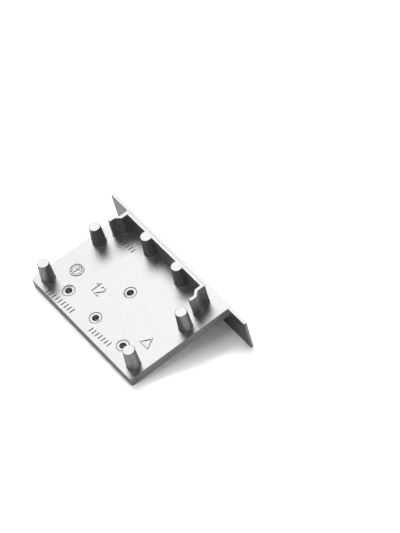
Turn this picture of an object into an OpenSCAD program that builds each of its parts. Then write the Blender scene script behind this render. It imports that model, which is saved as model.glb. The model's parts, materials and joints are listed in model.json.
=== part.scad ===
/* [Cover plate] */
// Length of the plate along the flange
plate_length = 33.2; // [26:0.1:60]
// Width of the plate, from the flange to its free edge
plate_width = 23.4; // [19:0.1:40]
// Thickness of the plate
plate_thickness = 2; // [1:0.1:3.5]
// Radius of the two plan corners at the free edge
plate_corner_radius = 0.6; // [0.2:0.1:2]

/* [Flange] */
// Length of the flange, which stands out past the plate at both ends
flange_length = 44; // [34:0.1:80]
// Height of the flange, from the plate's inner face down past its outer face
flange_height = 7.5; // [5:0.1:14]
// Thickness of the flange
flange_thickness = 0.7; // [0.5:0.05:1.5]
// Radius of the flange's four corners, seen from its flat side
flange_corner_radius = 0.4; // [0.1:0.1:1.5]
// Radius of the flange's upright outer edges, seen from above
flange_end_radius = 0.45; // [0.1:0.05:0.45]

/* [Pins and wall] */
// Height of the pins and the wall above the plate
insert_height = 5; // [3:0.1:10]
// Diameter of a pin along its straight root
pin_root_diameter = 2.8; // [1.6:0.1:4]
// Diameter of a pin at its tip
pin_tip_diameter = 2.4; // [1.2:0.1:3.6]
// Length of the straight root, below the taper
pin_root_length = 1.5; // [0.6:0.1:2.4]
// Distance of the corner pins from the plate's short edges
pin_side_inset = 2.4; // [1.8:0.1:3.2]
// Distance of the outer row of pins from the free edge
pin_edge_inset = 2.6; // [2:0.1:4]
// Distance of the inner row of pins from the flange
pin_flange_distance = 8.35; // [7.6:0.05:11]
// Distance between the two pins that grow out of the wall
wall_pin_spacing = 10; // [4:0.1:14]

/* [Wall shape] */
// Thickness of the wall, its legs and its lips
wall_thickness = 0.75; // [0.6:0.05:1.2]
// Gap in plan between the flange and the wall
wall_setback = 1.3; // [0.6:0.1:2]
// Distance of the legs from the plate's short edges
wall_side_inset = 4; // [3:0.1:6]
// Length of a leg, from the wall's outer face to where it bends outwards
leg_length = 1.9; // [1.4:0.1:3]
// Distance that the bend carries a lip outwards
jog_offset = 1; // [0.2:0.1:1.2]
// Distance that the bend runs towards the free edge
jog_run = 1; // [0.6:0.05:1.6]
// Length of a lip past the bend
lip_length = 1.4; // [0.8:0.1:2.4]

/* [Ejector marks] */
// Diameter of the shallow ring round each mark
mark_ring_diameter = 2.5; // [1.6:0.1:3]
// Depth of the shallow ring
mark_ring_depth = 0.08; // [0.02:0.01:0.3]
// Diameter of the blind hole in the middle of each mark
mark_hole_diameter = 1.25; // [0.6:0.05:1.5]
// Thickness of the plate left under each blind hole
mark_floor_thickness = 0.7; // [0.3:0.1:0.8]
// Distance of the outer marks from the plate's short edges
mark_side_inset = 7.6; // [6:0.1:9]
// Distance of the row of three marks from the free edge
mark_edge_inset = 3.75; // [3:0.05:5]
// Distance of the single mark from the flange
mark_flange_distance = 11.25; // [9:0.05:12]

/* [Hidden] */
// Facets of a full circle where the model is drawn as a mesh
$fn = 64;
// Overlap that joins a raised form to the plate below it
root = 0.5;
// Room left above a cut, so that it opens the face cleanly
cut_clearance = 1;
half_plate = plate_length / 2;
half_flange = flange_length / 2;
// The cap rests on the flange's lower inner edge and the plate's lower free edge
rest_tilt = atan((flange_height - plate_thickness) / plate_width);
rest_height = flange_height * cos(rest_tilt);
// Front and back of the tilted cap, which centre it on the origin
front_y = -plate_width * cos(rest_tilt);
back_y = flange_thickness * cos(rest_tilt) + flange_height * sin(rest_tilt);
middle_y = (front_y + back_y) / 2;
// Places of the corner pins, with Y running from the free edge to the flange
pin_x = half_plate - pin_side_inset;
inner_row_y = -pin_flange_distance;
outer_row_y = pin_edge_inset - plate_width;
// Centre lines and ends of the wall's legs and lips
wall_end_x = half_plate - wall_side_inset;
leg_x = wall_end_x - wall_thickness / 2;
leg_end_y = -wall_setback - leg_length;
lip_x = leg_x + jog_offset;
lip_start_y = leg_end_y - jog_run;
lip_end_y = lip_start_y - lip_length;
// Places and depth of the ejector marks
mark_x = half_plate - mark_side_inset;
mark_row_y = mark_edge_inset - plate_width;
mark_hole_depth = plate_thickness - mark_floor_thickness;

// Upright strip of the wall's plan, square at both ends, about the line at x
module straight_strip(x, from_y, to_y) {
    translate([x - wall_thickness / 2, to_y]) square([wall_thickness, from_y - to_y]);
}

// Slanted strip of the wall's plan, round at both ends, from one point to the other
module bent_strip(from, to) {
    run = to - from;
    translate(from) rotate(atan2(run[1], run[0]))
        translate([0, -wall_thickness / 2])
            square([norm(run), wall_thickness]);
    translate(from) circle(d = wall_thickness);
    translate(to) circle(d = wall_thickness);
}

// Plan of the cover plate: square at the flange, round at the free corners
module plate_plan() {
    corner_x = half_plate - plate_corner_radius;
    corner_y = plate_corner_radius - plate_width;
    translate([-half_plate, corner_y]) square([plate_length, -corner_y]);
    translate([-corner_x, -plate_width]) square([2 * corner_x, plate_width]);
    for (side = [-1, 1])
        translate([side * corner_x, corner_y]) circle(r = plate_corner_radius);
}

module cover_plate() {
    translate([0, 0, -plate_thickness])
        linear_extrude(height = plate_thickness)
            plate_plan();
}

// Face of the flange, with X along it and Y up
module flange_face() {
    corner_x = half_flange - flange_corner_radius;
    translate([-half_flange, flange_corner_radius - flange_height])
        square([flange_length, flange_height - 2 * flange_corner_radius]);
    translate([-corner_x, -flange_height]) square([2 * corner_x, flange_height]);
    for (side = [-1, 1], y = [-flange_corner_radius, flange_corner_radius - flange_height])
        translate([side * corner_x, y]) circle(r = flange_corner_radius);
}

// Plan of the flange: its ends are square inside and round outside
module flange_plan() {
    corner_x = half_flange - flange_end_radius;
    corner_y = flange_thickness - flange_end_radius;
    translate([-half_flange, 0]) square([flange_length, corner_y]);
    translate([-corner_x, 0]) square([2 * corner_x, flange_thickness]);
    for (side = [-1, 1])
        translate([side * corner_x, corner_y]) circle(r = flange_end_radius);
}

module flange() {
    intersection() {
        translate([0, flange_thickness, 0]) rotate([90, 0, 0])
            linear_extrude(height = flange_thickness)
                flange_face();
        translate([0, 0, -flange_height])
            linear_extrude(height = flange_height)
                flange_plan();
    }
}

// Straight root, then a taper that leads the pin into its hole
module pin() {
    translate([0, 0, -root])
        cylinder(d = pin_root_diameter, h = root + pin_root_length);
    translate([0, 0, pin_root_length])
        cylinder(
            d1 = pin_root_diameter,
            d2 = pin_tip_diameter,
            h = insert_height - pin_root_length
        );
}

module corner_pins() {
    for (side = [-1, 1], y = [inner_row_y, outer_row_y])
        translate([side * pin_x, y, 0]) pin();
}

// One leg of the wall, its outward bend and its lip
module wall_leg(side) {
    straight_strip(side * leg_x, -wall_setback, leg_end_y);
    bent_strip([side * leg_x, leg_end_y], [side * lip_x, lip_start_y]);
    straight_strip(side * lip_x, lip_start_y, lip_end_y);
}

// Pin that grows out of the wall and is cut flush with the wall's outer face
module wall_pin(x) {
    intersection() {
        translate([x, -wall_setback - pin_tip_diameter / 2, 0]) pin();
        translate([x - pin_root_diameter, -wall_setback - 2 * pin_root_diameter, -root])
            cube([2 * pin_root_diameter, 2 * pin_root_diameter, root + insert_height]);
    }
}

// Locating wall, with the two pins that grow out of its straight run
module locating_wall() {
    translate([0, 0, -root])
        linear_extrude(height = root + insert_height) {
            translate([-wall_end_x, -wall_setback - wall_thickness])
                square([2 * wall_end_x, wall_thickness]);
            for (side = [-1, 1])
                wall_leg(side);
        }
    for (side = [-1, 1])
        wall_pin(side * wall_pin_spacing / 2);
}

// Shallow ring and blind hole left by one ejector
module ejector_mark() {
    translate([0, 0, -mark_ring_depth])
        cylinder(d = mark_ring_diameter, h = mark_ring_depth + cut_clearance);
    translate([0, 0, -mark_hole_depth])
        cylinder(d = mark_hole_diameter, h = mark_hole_depth + cut_clearance);
}

// Three marks by the free edge and one in the middle of the plate
module ejector_marks() {
    for (x = [-mark_x, 0, mark_x])
        translate([x, mark_row_y, 0]) ejector_mark();
    translate([0, -mark_flange_distance, 0]) ejector_mark();
}

// The whole moulding, with its inner face level at Z 0 and the flange along X
module moulding() {
    difference() {
        union() {
            cover_plate();
            flange();
            corner_pins();
            locating_wall();
        }
        ejector_marks();
    }
}

module end_cap() {
    color("silver")
        translate([0, -middle_y, rest_height])
            rotate([rest_tilt, 0, 0])
                moulding();
}

end_cap();
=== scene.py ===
"""Finish, raised marks, light and camera for a moulded end cap, laid out as an add-on."""

import json
import math

import bmesh
import bpy
import numpy as np
from mathutils import Matrix, Vector


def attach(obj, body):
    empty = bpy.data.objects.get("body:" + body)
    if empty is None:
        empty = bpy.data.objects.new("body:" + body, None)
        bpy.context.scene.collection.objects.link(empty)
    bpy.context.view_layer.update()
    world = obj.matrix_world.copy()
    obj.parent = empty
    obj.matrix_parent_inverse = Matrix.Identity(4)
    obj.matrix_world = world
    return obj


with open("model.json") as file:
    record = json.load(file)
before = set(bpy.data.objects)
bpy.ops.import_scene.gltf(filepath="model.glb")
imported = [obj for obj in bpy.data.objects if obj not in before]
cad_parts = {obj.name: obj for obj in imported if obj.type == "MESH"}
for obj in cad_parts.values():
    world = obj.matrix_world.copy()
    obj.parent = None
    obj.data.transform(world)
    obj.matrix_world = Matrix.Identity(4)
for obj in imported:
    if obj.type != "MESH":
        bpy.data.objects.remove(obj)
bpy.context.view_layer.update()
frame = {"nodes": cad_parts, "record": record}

bl_info = {
    "name": "Moulded End Cap",
    "version": (1, 0, 0),
    "blender": (4, 5, 0),
    "location": "View3D > Sidebar > End Cap",
    "description": "Gives a moulded end cap its finish, marks, light and camera",
    "category": "Object",
}

MM = 0.001
NODE = "end_cap"
BODY = "root"

# The cap's own axes come from two of its mounts: its inner face and its flange's outer face
FLANGE_THICKNESS = 0.7 * MM


def mount(name):
    """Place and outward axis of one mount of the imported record."""
    found = next(m for m in frame["record"]["mounts"] if m["name"] == name)
    return Vector(found["pos_m"]), Vector(found["axis"]).normalized()


SEAT_PLACE, SEAT_UP = mount("seat_face")
FLANGE_PLACE, FLANGE_OUT = mount("flange_face")
ALONG = FLANGE_OUT.cross(SEAT_UP)
# Where the inner face meets the flange's inner face, at the middle of the flange
CAP_ORIGIN = (
    SEAT_UP * SEAT_PLACE.dot(SEAT_UP)
    + FLANGE_OUT * (FLANGE_PLACE.dot(FLANGE_OUT) - FLANGE_THICKNESS)
)
CAP_TILT = math.atan2(-SEAT_UP.y, SEAT_UP.z)


def linear(hex_colour):
    """Linear RGB of an sRGB hex colour: a straight part near black, then the power 2.4."""
    srgb = np.array([int(hex_colour[i:i + 2], 16) for i in (1, 3, 5)]) / 255
    curved = ((srgb + 0.055) / 1.055) ** 2.4
    return tuple(float(c) for c in np.where(srgb <= 0.04045, srgb / 12.92, curved))


class EndCapFinish(bpy.types.PropertyGroup):
    """Finish of the moulding."""

    plastic_colour: bpy.props.FloatVectorProperty(
        name="Plastic colour",
        description="Colour of the silver pigmented plastic",
        subtype="COLOR",
        min=0,
        max=1,
        default=linear("#C7C7C8"),
    )
    edge_radius: bpy.props.FloatProperty(
        name="Edge radius",
        description="Width of the soft edge that the mould leaves",
        unit="LENGTH",
        precision=5,
        min=0.00002,
        max=0.0002,
        default=0.12 * MM,
    )
    inner_grain: bpy.props.FloatProperty(
        name="Inner grain",
        description="Size of the fine grain on the inner side",
        unit="LENGTH",
        precision=5,
        min=0.00005,
        max=0.002,
        default=0.35 * MM,
    )
    flake_size: bpy.props.FloatProperty(
        name="Flake size",
        description="Size of the metal flakes, as they show in the render",
        unit="LENGTH",
        precision=5,
        min=0.00005,
        max=0.002,
        default=0.42 * MM,
    )
    outer_grain: bpy.props.FloatProperty(
        name="Outer grain",
        description="Size of the coarser grain on the visible outer side",
        unit="LENGTH",
        precision=5,
        min=0.0001,
        max=0.003,
        default=0.6 * MM,
    )


class EndCapMarks(bpy.types.PropertyGroup):
    """Raised marks on the inner face."""

    height: bpy.props.FloatProperty(
        name="Height",
        description="Height of the raised marks above the inner face",
        unit="LENGTH",
        precision=5,
        min=0.00002,
        max=0.0005,
        default=0.16 * MM,
    )
    stroke: bpy.props.FloatProperty(
        name="Stroke",
        description="Width of a mark's line where it leaves the face",
        unit="LENGTH",
        precision=5,
        min=0.0001,
        max=0.0005,
        default=0.26 * MM,
    )
    number: bpy.props.IntProperty(
        name="Cavity number",
        description="Plain number of the cavity that the cap was moulded in",
        min=0,
        max=99,
        default=12,
    )


class EndCapStage(bpy.types.PropertyGroup):
    """Floor, light and camera."""

    floor_colour: bpy.props.FloatVectorProperty(
        name="Floor colour",
        description="Colour of the pale floor",
        subtype="COLOR",
        min=0,
        max=1,
        default=linear("#F8F8F8"),
    )
    floor_gain: bpy.props.FloatProperty(
        name="Floor gain",
        description="How many times brighter the camera sees the floor, so that it turns white",
        min=1,
        max=8,
        default=4.7,
    )
    gloss_share: bpy.props.FloatProperty(
        name="Gloss share",
        description="How much of that gain the sheen of the cap sees",
        subtype="FACTOR",
        min=0,
        max=1,
        default=0.10,
    )
    floor_radius: bpy.props.FloatProperty(
        name="Floor radius",
        description="Radius of the round floor",
        unit="LENGTH",
        min=0.2,
        max=5,
        default=2.0,
    )
    softbox_level: bpy.props.FloatProperty(
        name="Softbox level",
        description="Brightness of the softbox above and beside the cap",
        min=0,
        max=10,
        default=2.16,
    )
    softbox_size: bpy.props.FloatVectorProperty(
        name="Softbox size",
        description="Level and sloping side of the softbox",
        size=2,
        unit="LENGTH",
        min=0.02,
        max=3,
        default=(0.36, 0.285),
    )
    fill_level: bpy.props.FloatProperty(
        name="Fill level",
        description="Brightness of the fill lamp overhead",
        min=0,
        max=10,
        default=0.38,
    )
    fill_size: bpy.props.FloatVectorProperty(
        name="Fill size",
        description="Level and sloping side of the fill lamp",
        size=2,
        unit="LENGTH",
        min=0.02,
        max=3,
        default=(0.33, 0.43),
    )
    lamp_distance: bpy.props.FloatProperty(
        name="Lamp distance",
        description="Distance from the cap to both lamps",
        unit="LENGTH",
        min=0.1,
        max=5,
        default=0.6,
    )
    horizon_level: bpy.props.FloatProperty(
        name="Horizon level",
        description="Brightness of the room at the cap's own height",
        min=0,
        max=1,
        default=0.023,
    )
    wall_level: bpy.props.FloatProperty(
        name="Wall level",
        description="Brightness that the pale wall on the flange's side adds",
        min=0,
        max=2,
        default=0.3,
    )
    ceiling_level: bpy.props.FloatProperty(
        name="Ceiling level",
        description="Brightness of the room overhead, beside the lamps",
        min=0,
        max=1,
        default=0.087,
    )


def add_node(tree, kind, settings=None, inputs=None):
    """Adds one node, sets its properties, and sets or links its sockets."""
    node = tree.nodes.new(kind)
    for name, value in (settings or {}).items():
        setattr(node, name, value)
    for name, value in (inputs or {}).items():
        socket = node.inputs[name]
        if isinstance(value, bpy.types.NodeSocket):
            tree.links.new(value, socket)
        else:
            socket.default_value = value
    return node


def empty_material(name):
    """Material with an empty node tree and its output node."""
    material = bpy.data.materials.new(name)
    material.use_nodes = True
    tree = material.node_tree
    tree.nodes.clear()
    return material, tree, add_node(tree, "ShaderNodeOutputMaterial")


# Colour of a flake that is turned away and of one that is turned up, against the plastic's
FLAKE_DARK = 0.88
FLAKE_PALE = 1.09
# Roughness over the flakes that lie flat and over those that lie across
SMOOTH_SPOT = 0.34
ROUGH_SPOT = 0.42
# Share of the plastic's sheen that is the flakes' and not the clear plastic's
FLAKE_SHARE = 0.98
ABS_IOR = 1.53
# Strength and full height of the two grains
FINE_GRAIN = {"Strength": 0.5, "Distance": 0.03 * MM}
COARSE_STRENGTH = 0.6
COARSE_HEIGHT = 0.08 * MM
# Where the coarse grain begins and is full: height over the inner face, and distance from
# the flange's inner face
PLATE_GRAIN = ("Z", -1.7 * MM, -1.9 * MM)
FLANGE_GRAIN = ("Y", 0.45 * MM, 0.65 * MM)


def silver_abs(finish):
    """ABS filled with fine metal flake, moulded against a spark eroded steel face.

    The flake gives a soft silver sheen that is bright towards the light and grey away from it.
    The eroded steel leaves a fine grain inside and a coarser one on the outer face.
    """
    material, tree, output = empty_material("Silver_ABS_moulded")
    place = add_node(tree, "ShaderNodeTexCoord").outputs["Object"]
    # Coordinates in the cap's own axes, in metres, with Z up out of the inner face
    own = add_node(
        tree,
        "ShaderNodeMapping",
        {"vector_type": "TEXTURE"},
        {"Vector": place, "Location": CAP_ORIGIN, "Rotation": (CAP_TILT, 0, 0)},
    ).outputs["Vector"]
    axis = add_node(tree, "ShaderNodeSeparateXYZ", None, {"Vector": own}).outputs
    # The coarse grain lies on the plate's outer face and on the flange's outer face
    plate_side, flange_side = (
        add_node(
            tree,
            "ShaderNodeMapRange",
            None,
            {
                "Value": axis[name],
                "From Min": begins,
                "From Max": full,
                "To Max": COARSE_STRENGTH,
            },
        ).outputs["Result"]
        for name, begins, full in (PLATE_GRAIN, FLANGE_GRAIN)
    )
    outer = add_node(
        tree, "ShaderNodeMath", {"operation": "MAXIMUM"}, {0: plate_side, 1: flange_side}
    ).outputs["Value"]
    fine = add_node(
        tree,
        "ShaderNodeTexNoise",
        None,
        {"Vector": own, "Scale": 1 / finish.inner_grain, "Detail": 3.0, "Roughness": 0.6},
    ).outputs["Fac"]
    coarse = add_node(
        tree,
        "ShaderNodeTexNoise",
        None,
        {"Vector": own, "Scale": 1 / finish.outer_grain, "Detail": 4.0, "Roughness": 0.65},
    ).outputs["Fac"]
    fine_bump = add_node(
        tree,
        "ShaderNodeBump",
        None,
        {"Height": fine, **FINE_GRAIN},
    ).outputs["Normal"]
    grain = add_node(
        tree,
        "ShaderNodeBump",
        None,
        {"Height": coarse, "Normal": fine_bump, "Strength": outer, "Distance": COARSE_HEIGHT},
    ).outputs["Normal"]
    # Real flakes are a tenth of this size; they are drawn as coarse as the render can show
    flake = add_node(
        tree,
        "ShaderNodeTexNoise",
        None,
        {"Vector": own, "Scale": 1 / finish.flake_size, "Detail": 2.0},
    ).outputs["Fac"]
    roughness = add_node(
        tree,
        "ShaderNodeMapRange",
        None,
        {
            "Value": flake,
            "From Min": 0.3,
            "From Max": 0.7,
            "To Min": SMOOTH_SPOT,
            "To Max": ROUGH_SPOT,
        },
    ).outputs["Result"]
    share = add_node(
        tree,
        "ShaderNodeMapRange",
        None,
        {"Value": flake, "From Min": 0.3, "From Max": 0.65},
    ).outputs["Result"]
    dark, pale = (
        (*Vector(finish.plastic_colour) * factor, 1) for factor in (FLAKE_DARK, FLAKE_PALE)
    )
    # Inputs 6 and 7 and output 2 are this node's colours
    colour = add_node(
        tree, "ShaderNodeMix", {"data_type": "RGBA"}, {0: share, 6: dark, 7: pale}
    ).outputs[2]
    shader = add_node(
        tree,
        "ShaderNodeBsdfPrincipled",
        None,
        {
            "Base Color": colour,
            "Metallic": FLAKE_SHARE,
            "Roughness": roughness,
            "IOR": ABS_IOR,
            "Normal": grain,
        },
    ).outputs["BSDF"]
    tree.links.new(shader, output.inputs["Surface"])
    return material


def pale_floor(stage):
    """Matt white paper sweep, which keeps the cap's shadow and is clear from below.

    The camera sees the lit paper as white: its colour is lifted for those rays, and for the
    rays of the cap's own sheen in part, but never for the light that the paper throws.
    """
    material, tree, output = empty_material("Matt_paper_sweep")
    ray = add_node(tree, "ShaderNodeLightPath").outputs
    direct = add_node(
        tree,
        "ShaderNodeMath",
        {"operation": "MAXIMUM"},
        {0: ray["Is Camera Ray"], 1: ray["Is Transmission Ray"]},
    ).outputs["Value"]
    lift = add_node(
        tree,
        "ShaderNodeMath",
        {"operation": "MULTIPLY_ADD"},
        {0: ray["Is Glossy Ray"], 1: stage.gloss_share, 2: direct},
    ).outputs["Value"]
    white = Vector(stage.floor_colour) * stage.floor_gain
    seen = add_node(
        tree, "ShaderNodeBsdfDiffuse", None, {"Color": (*white, 1)}
    ).outputs["BSDF"]
    paper = add_node(
        tree, "ShaderNodeBsdfDiffuse", None, {"Color": (*stage.floor_colour, 1)}
    ).outputs["BSDF"]
    top = add_node(
        tree, "ShaderNodeMixShader", None, {0: lift, 1: paper, 2: seen}
    ).outputs["Shader"]
    below = add_node(tree, "ShaderNodeNewGeometry").outputs["Backfacing"]
    clear = add_node(tree, "ShaderNodeBsdfTransparent").outputs["BSDF"]
    both = add_node(
        tree, "ShaderNodeMixShader", None, {0: below, 1: top, 2: clear}
    ).outputs["Shader"]
    tree.links.new(both, output.inputs["Surface"])
    return material


def studio_room(stage):
    """Dim room with a pale wall on the flange's side. The camera sees all of it as white."""
    world = bpy.data.worlds.new("Studio_room")
    world.use_nodes = True
    tree = world.node_tree
    tree.nodes.clear()
    direction = add_node(tree, "ShaderNodeTexCoord").outputs["Generated"]
    axis = add_node(tree, "ShaderNodeSeparateXYZ", None, {"Vector": direction}).outputs
    dim = add_node(
        tree,
        "ShaderNodeMapRange",
        None,
        {
            "Value": axis["Z"],
            "From Min": 0.0,
            "From Max": 0.5,
            "To Min": stage.horizon_level,
            "To Max": stage.ceiling_level,
        },
    ).outputs["Result"]
    pale_wall = add_node(
        tree,
        "ShaderNodeMapRange",
        None,
        {"Value": axis["Y"], "From Min": 0.3, "From Max": 0.8, "To Max": stage.wall_level},
    ).outputs["Result"]
    level = add_node(
        tree, "ShaderNodeMath", {"operation": "ADD"}, {0: dim, 1: pale_wall}
    ).outputs["Value"]
    room = add_node(
        tree, "ShaderNodeBackground", None, {"Color": (1, 1, 1, 1), "Strength": level}
    ).outputs["Background"]
    white = add_node(
        tree, "ShaderNodeBackground", None, {"Color": (1, 1, 1, 1)}
    ).outputs["Background"]
    camera_ray = add_node(tree, "ShaderNodeLightPath").outputs["Is Camera Ray"]
    mix = add_node(
        tree, "ShaderNodeMixShader", None, {0: camera_ray, 1: room, 2: white}
    ).outputs["Shader"]
    add_node(tree, "ShaderNodeOutputWorld", None, {"Surface": mix})
    return world


def smooth_shading():
    """Node group that shades every face smooth."""
    group = bpy.data.node_groups.new("Smooth_shading", "GeometryNodeTree")
    group.interface.new_socket("Geometry", in_out="INPUT", socket_type="NodeSocketGeometry")
    group.interface.new_socket("Geometry", in_out="OUTPUT", socket_type="NodeSocketGeometry")
    start = add_node(group, "NodeGroupInput").outputs["Geometry"]
    smooth = add_node(group, "GeometryNodeSetShadeSmooth", None, {"Geometry": start})
    add_node(group, "NodeGroupOutput", None, {"Geometry": smooth.outputs["Geometry"]})
    return group


def add_modifier(piece, kind, name, **settings):
    """Adds one modifier with its settings."""
    modifier = piece.modifiers.new(name, kind)
    for key, value in settings.items():
        setattr(modifier, key, value)


def soften_edges(piece, radius):
    """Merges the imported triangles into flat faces, then rounds every sharp edge."""
    add_modifier(piece, "WELD", "Merge_corners", merge_threshold=0.005 * MM)
    add_modifier(
        piece,
        "DECIMATE",
        "Join_flat_faces",
        decimate_type="DISSOLVE",
        angle_limit=math.radians(0.3),
    )
    add_modifier(
        piece,
        "BEVEL",
        "Soft_edges",
        width=radius,
        segments=2,
        limit_method="ANGLE",
        angle_limit=math.radians(35),
        use_clamp_overlap=False,
    )
    add_modifier(piece, "NODES", "Smooth_faces", node_group=smooth_shading())
    add_modifier(piece, "WEIGHTED_NORMAL", "Flat_face_normals", keep_sharp=False)


def arc(centre, radii, start, end, steps):
    """Points on a circle or an ellipse from one angle to the other, in degrees."""
    angle = np.radians(np.linspace(start, end, steps))
    return np.column_stack([np.cos(angle), np.sin(angle)]) * radii + centre


def ring(centre, radii, steps=24):
    """Points once round a circle or an ellipse, without the first one again at the end."""
    return arc(centre, radii, 0, 360, steps + 1)[:-1]


def turned_left(vectors):
    """Each plane vector turned a quarter turn to the left."""
    return np.column_stack([-vectors[:, 1], vectors[:, 0]])


def unit(vectors):
    """Each vector divided by its length."""
    return vectors / np.linalg.norm(vectors, axis=1, keepdims=True)


def grid_faces(rows, columns, wrap_rows=False):
    """Quads of a grid whose columns close on themselves, and whose rows may too."""
    last = rows if wrap_rows else rows - 1
    row, column = np.meshgrid(np.arange(last), np.arange(columns), indexing="ij")
    next_row = (row + 1) % rows
    next_column = (column + 1) % columns
    return np.stack([
        row * columns + column,
        row * columns + next_column,
        next_row * columns + next_column,
        next_row * columns + column,
    ], axis=-1).reshape(-1, 4)


# How far a mark's line reaches below the inner face, so that no gap shows
MARK_ROOT = 0.03 * MM


def line_profile(width, height):
    """Half section of a raised line: distance from its middle, and height above the face.

    It starts below the face, leaves it at half the width, leans in with the mould's draft,
    and rounds over to the middle at full height.
    """
    half = width / 2
    return np.array([
        [0, -MARK_ROOT],
        [half, -MARK_ROOT],
        [half, 0],
        [0.8 * half, 0.8 * height],
        [0.55 * half, height],
        [0, height],
    ])


def open_line(points, width, height):
    """Raised line with round ends along a few points.

    Each level of the half section is one loop round the line: its left side forwards, half
    a circle at the end, its right side backwards, and half a circle at the start. Corners
    are mitred, and the first and last levels close on the line itself.
    """
    ahead = unit(np.diff(points, axis=0))
    before = np.vstack([ahead[:1], ahead])
    after = np.vstack([ahead, ahead[-1:]])
    middle = unit(before + after)
    stretch = 1 / np.sum(middle * before, axis=1, keepdims=True)
    left = turned_left(middle) * stretch
    turn = np.radians(np.linspace(90, -90, 7)[1:-1])[:, None]
    end_cap = np.cos(turn) * ahead[-1:] + np.sin(turn) * turned_left(ahead[-1:])
    start_cap = -(np.cos(turn) * ahead[:1] + np.sin(turn) * turned_left(ahead[:1]))
    centre = np.vstack([
        points,
        np.repeat(points[-1:], len(turn), axis=0),
        points[::-1],
        np.repeat(points[:1], len(turn), axis=0),
    ])
    outward = np.vstack([left, end_cap, -left[::-1], start_cap])
    profile = line_profile(width, height)
    level = profile[:, None, :1] * outward[None] + centre[None]
    rise = np.broadcast_to(profile[:, None, 1:], (*level.shape[:2], 1))
    grid = np.concatenate([level, rise], axis=2)
    return grid.reshape(-1, 3), grid_faces(len(profile), len(centre))


def closed_line(points, width, height):
    """Raised line along a closed path: the whole section is carried round it, mitred."""
    ahead = unit(np.roll(points, -1, axis=0) - points)
    before = np.roll(ahead, 1, axis=0)
    middle = unit(before + ahead)
    stretch = 1 / np.sum(middle * before, axis=1, keepdims=True)
    left = turned_left(middle) * stretch
    half = line_profile(width, height)[1:-1]
    section = np.vstack([half, half[::-1] * [-1, 1]])
    level = points[:, None] + left[:, None] * section[None, :, :1]
    rise = np.broadcast_to(section[None, :, 1:], (*level.shape[:2], 1))
    grid = np.concatenate([level, rise], axis=2)
    return grid.reshape(-1, 3), grid_faces(len(points), len(section), wrap_rows=True)


# Strokes of the ten figures as (points, closed), in a box one unit wide and two units high
FIGURES = {
    "0": [(ring((0.5, 1.0), (0.5, 1.0)), True)],
    "1": [(np.array([[0.15, 1.6], [0.6, 2.0], [0.6, 0.0]]), False)],
    "2": [(np.vstack([arc((0.5, 1.5), 0.5, 160, -35, 12), [[0.0, 0.0], [1.0, 0.0]]]), False)],
    "3": [(np.vstack([
        arc((0.45, 1.52), (0.5, 0.48), 150, -80, 12),
        arc((0.45, 0.52), (0.55, 0.52), 80, -150, 12),
    ]), False)],
    "4": [(np.array([[0.75, 0.0], [0.75, 2.0], [0.0, 0.6], [1.0, 0.6]]), False)],
    "5": [(np.vstack([
        [[0.95, 2.0], [0.15, 2.0], [0.1, 1.15]],
        arc((0.45, 0.62), (0.52, 0.62), 110, -145, 12),
    ]), False)],
    "6": [
        (ring((0.5, 0.6), (0.5, 0.6)), True),
        (arc((1.0, 0.75), (1.0, 1.25), 105, 172, 8), False),
    ],
    "7": [(np.array([[0.0, 2.0], [1.0, 2.0], [0.35, 0.0]]), False)],
    "8": [
        (ring((0.5, 1.52), (0.42, 0.46)), True),
        (ring((0.5, 0.53), (0.5, 0.53)), True),
    ],
    "9": [
        (ring((0.5, 1.4), (0.5, 0.6)), True),
        (arc((0.0, 1.25), (1.0, 1.25), -75, -8, 8), False),
    ],
}


def cap_points(flat):
    """Points given in the cap's own axes, moved to the frame."""
    axes = np.array([ALONG, FLANGE_OUT, SEAT_UP])
    return flat @ axes + np.array(CAP_ORIGIN)


def mesh_piece(name, parts, material):
    """One object from several (vertices, faces) parts: doubles merged, faces outwards."""
    counts = np.cumsum([0] + [len(vertices) for vertices, _ in parts])
    vertices = np.vstack([vertices for vertices, _ in parts])
    faces = np.vstack([faces + start for (_, faces), start in zip(parts, counts)])
    mesh = bpy.data.meshes.new(name)
    mesh.from_pydata(vertices, [], faces)
    shell = bmesh.new()
    shell.from_mesh(mesh)
    bmesh.ops.remove_doubles(shell, verts=shell.verts, dist=0.001 * MM)
    bmesh.ops.recalc_face_normals(shell, faces=shell.faces)
    shell.to_mesh(mesh)
    shell.free()
    mesh.materials.append(material)
    piece = bpy.data.objects.new(name, mesh)
    bpy.context.scene.collection.objects.link(piece)
    return piece


# Places of the marks on the inner face, in mm: along the flange, and away from it
DIAL_PLACE = (-11.9, -15.6)
DIAL_RADIUS = 1.4
NUMBER_PLACE = (-6.45, -16.3)
FIGURE_HEIGHT = 2.1
FIGURE_STEP = 1.5
TRIANGLE_PLACE = (11.8, -16.0)
TRIANGLE_RADIUS = 1.35
# Rows of ticks: first tick, last tick, how many, and how long each is
TICK_ROWS = (
    ((-11.8, -22.6), (-4.6, -22.0), 9, 1.0),
    ((-10.3, -4.9), (-7.7, -4.9), 4, 0.9),
    ((1.6, -21.9), (6.9, -21.4), 7, 0.9),
)


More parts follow.
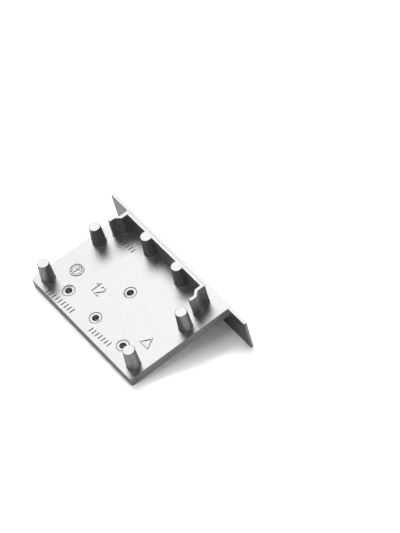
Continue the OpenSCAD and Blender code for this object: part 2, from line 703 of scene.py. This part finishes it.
def mark_lines(number):
    """Every raised line as (points in mm, closed): a date dial, a number, ticks, a triangle."""
    dial = np.array(DIAL_PLACE)
    lines = [(ring(dial, DIAL_RADIUS, 36), True)]
    for direction in ring((0, 0), 1, 12):
        lines.append((dial + np.outer([0.95, 1.15], direction), False))
    lines.append((dial + np.array([[0, -0.6], [0, 0.6]]), False))
    lines.append((dial + np.array([[-0.3, 0.25], [0, 0.6], [0.3, 0.25]]), False))
    for place, figure in enumerate(str(number)):
        corner = np.array(NUMBER_PLACE) + [place * FIGURE_STEP, 0]
        for stroke, closed in FIGURES[figure]:
            lines.append((corner + stroke * FIGURE_HEIGHT / 2, closed))
    lines.append((arc(TRIANGLE_PLACE, TRIANGLE_RADIUS, 90, 330, 3), True))
    for first, last, count, length in TICK_ROWS:
        for place in np.linspace(first, last, count):
            lines.append((place + np.array([[0, -length / 2], [0, length / 2]]), False))
    return lines


class OBJECT_OT_finish_end_cap(bpy.types.Operator):
    """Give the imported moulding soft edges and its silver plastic"""

    bl_idname = "object.finish_end_cap"
    bl_label = "Finish End Cap"

    def execute(self, context):
        finish = context.scene.end_cap_finish
        cap = frame["nodes"][NODE]
        material = silver_abs(finish)
        for slot in cap.material_slots:
            slot.material = material
        soften_edges(cap, finish.edge_radius)
        return {"FINISHED"}


class OBJECT_OT_add_mould_marks(bpy.types.Operator):
    """Raise the plain marks on the inner face"""

    bl_idname = "object.add_mould_marks"
    bl_label = "Add Mould Marks"

    def execute(self, context):
        marks = context.scene.end_cap_marks
        parts = []
        for points, closed in mark_lines(marks.number):
            make = closed_line if closed else open_line
            flat, faces = make(points * MM, marks.stroke, marks.height)
            parts.append((cap_points(flat), faces))
        piece = mesh_piece("mould_marks", parts, bpy.data.materials["Silver_ABS_moulded"])
        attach(piece, BODY)
        return {"FINISHED"}


# Camera fitted to the photograph: 400 by 533 pixels, the long side on the sensor's width
IMAGE_HEIGHT = 533
FOCAL_PIXELS = 3366.6
SENSOR_WIDTH = 36
CAMERA_AIM = Vector((-1.525, 16.915, 0)) * MM
CAMERA_DISTANCE = 656.28 * MM
CAMERA_PITCH = math.radians(45.323)
CAMERA_TURN = math.radians(53.779)
# Directions from the cap towards the two lamps, matched to the shadows
SOFTBOX_DIRECTION = Vector((-0.634, 0.09, 1.0)).normalized()
FILL_DIRECTION = Vector((-0.044, -0.338, 1.0)).normalized()


def aimed(obj, place, aim):
    """Puts an object at a place with its own -Z towards the aim and its Y upwards."""
    obj.matrix_world = Matrix.LocRotScale(
        place, (aim - place).to_track_quat("-Z", "Y"), None
    )


def soft_lamp(name, level, size, place):
    """Rectangular lamp that faces the cap: its power is 4 times its area times its level."""
    lamp = bpy.data.lights.new(name, "AREA")
    lamp.shape = "RECTANGLE"
    lamp.size, lamp.size_y = size
    lamp.energy = 4 * lamp.size * lamp.size_y * level
    soft = bpy.data.objects.new(name, lamp)
    soft.visible_camera = False
    bpy.context.scene.collection.objects.link(soft)
    aimed(soft, place, Vector((0, 0, 0)))


class SCENE_OT_set_end_cap_stage(bpy.types.Operator):
    """Add the pale floor, the soft light and the camera"""

    bl_idname = "scene.set_end_cap_stage"
    bl_label = "Set End Cap Stage"

    def execute(self, context):
        scene = context.scene
        stage = scene.end_cap_stage
        rim = np.pad(ring((0, 0), stage.floor_radius, 64), ((0, 0), (0, 1)))
        mesh = bpy.data.meshes.new("floor")
        mesh.from_pydata(rim, [], [list(range(len(rim)))])
        mesh.materials.append(pale_floor(stage))
        floor = bpy.data.objects.new("floor", mesh)
        scene.collection.objects.link(floor)

        for name, level, size, direction in (
            ("softbox", stage.softbox_level, stage.softbox_size, SOFTBOX_DIRECTION),
            ("fill", stage.fill_level, stage.fill_size, FILL_DIRECTION),
        ):
            soft_lamp(name, level, size, direction * stage.lamp_distance)

        scene.world = studio_room(stage)
        scene.view_settings.view_transform = "Standard"

        camera = bpy.data.cameras.new("camera")
        camera.sensor_width = SENSOR_WIDTH
        camera.lens = SENSOR_WIDTH * FOCAL_PIXELS / IMAGE_HEIGHT
        camera.clip_start = 0.05
        camera.clip_end = 10
        viewer = bpy.data.objects.new("camera", camera)
        scene.collection.objects.link(viewer)
        back = Vector((
            math.sin(CAMERA_TURN) * math.cos(CAMERA_PITCH),
            -math.cos(CAMERA_TURN) * math.cos(CAMERA_PITCH),
            math.sin(CAMERA_PITCH),
        ))
        aimed(viewer, CAMERA_AIM + back * CAMERA_DISTANCE, CAMERA_AIM)
        scene.camera = viewer
        return {"FINISHED"}


class VIEW3D_PT_end_cap(bpy.types.Panel):
    """Lists the end cap's steps and settings"""

    bl_label = "End Cap"
    bl_idname = "VIEW3D_PT_end_cap"
    bl_space_type = "VIEW_3D"
    bl_region_type = "UI"
    bl_category = "End Cap"

    def draw(self, context):
        scene = context.scene
        for operator, settings in (
            (OBJECT_OT_finish_end_cap, scene.end_cap_finish),
            (OBJECT_OT_add_mould_marks, scene.end_cap_marks),
            (SCENE_OT_set_end_cap_stage, scene.end_cap_stage),
        ):
            box = self.layout.box()
            for name in settings.bl_rna.properties.keys():
                if name not in {"rna_type", "name"}:
                    box.prop(settings, name)
            box.operator(operator.bl_idname)


CLASSES = (
    EndCapFinish,
    EndCapMarks,
    EndCapStage,
    OBJECT_OT_finish_end_cap,
    OBJECT_OT_add_mould_marks,
    SCENE_OT_set_end_cap_stage,
    VIEW3D_PT_end_cap,
)


def register():
    """Registers every class and the three groups of settings."""
    for item in CLASSES:
        bpy.utils.register_class(item)
    bpy.types.Scene.end_cap_finish = bpy.props.PointerProperty(type=EndCapFinish)
    bpy.types.Scene.end_cap_marks = bpy.props.PointerProperty(type=EndCapMarks)
    bpy.types.Scene.end_cap_stage = bpy.props.PointerProperty(type=EndCapStage)


def unregister():
    """Undoes register, in reverse order."""
    del bpy.types.Scene.end_cap_stage
    del bpy.types.Scene.end_cap_marks
    del bpy.types.Scene.end_cap_finish
    for item in reversed(CLASSES):
        bpy.utils.unregister_class(item)


def main():
    """Builds everything in order."""
    register()
    bpy.ops.object.finish_end_cap()
    bpy.ops.object.add_mould_marks()
    bpy.ops.scene.set_end_cap_stage()


if __name__ == "__main__":
    main()
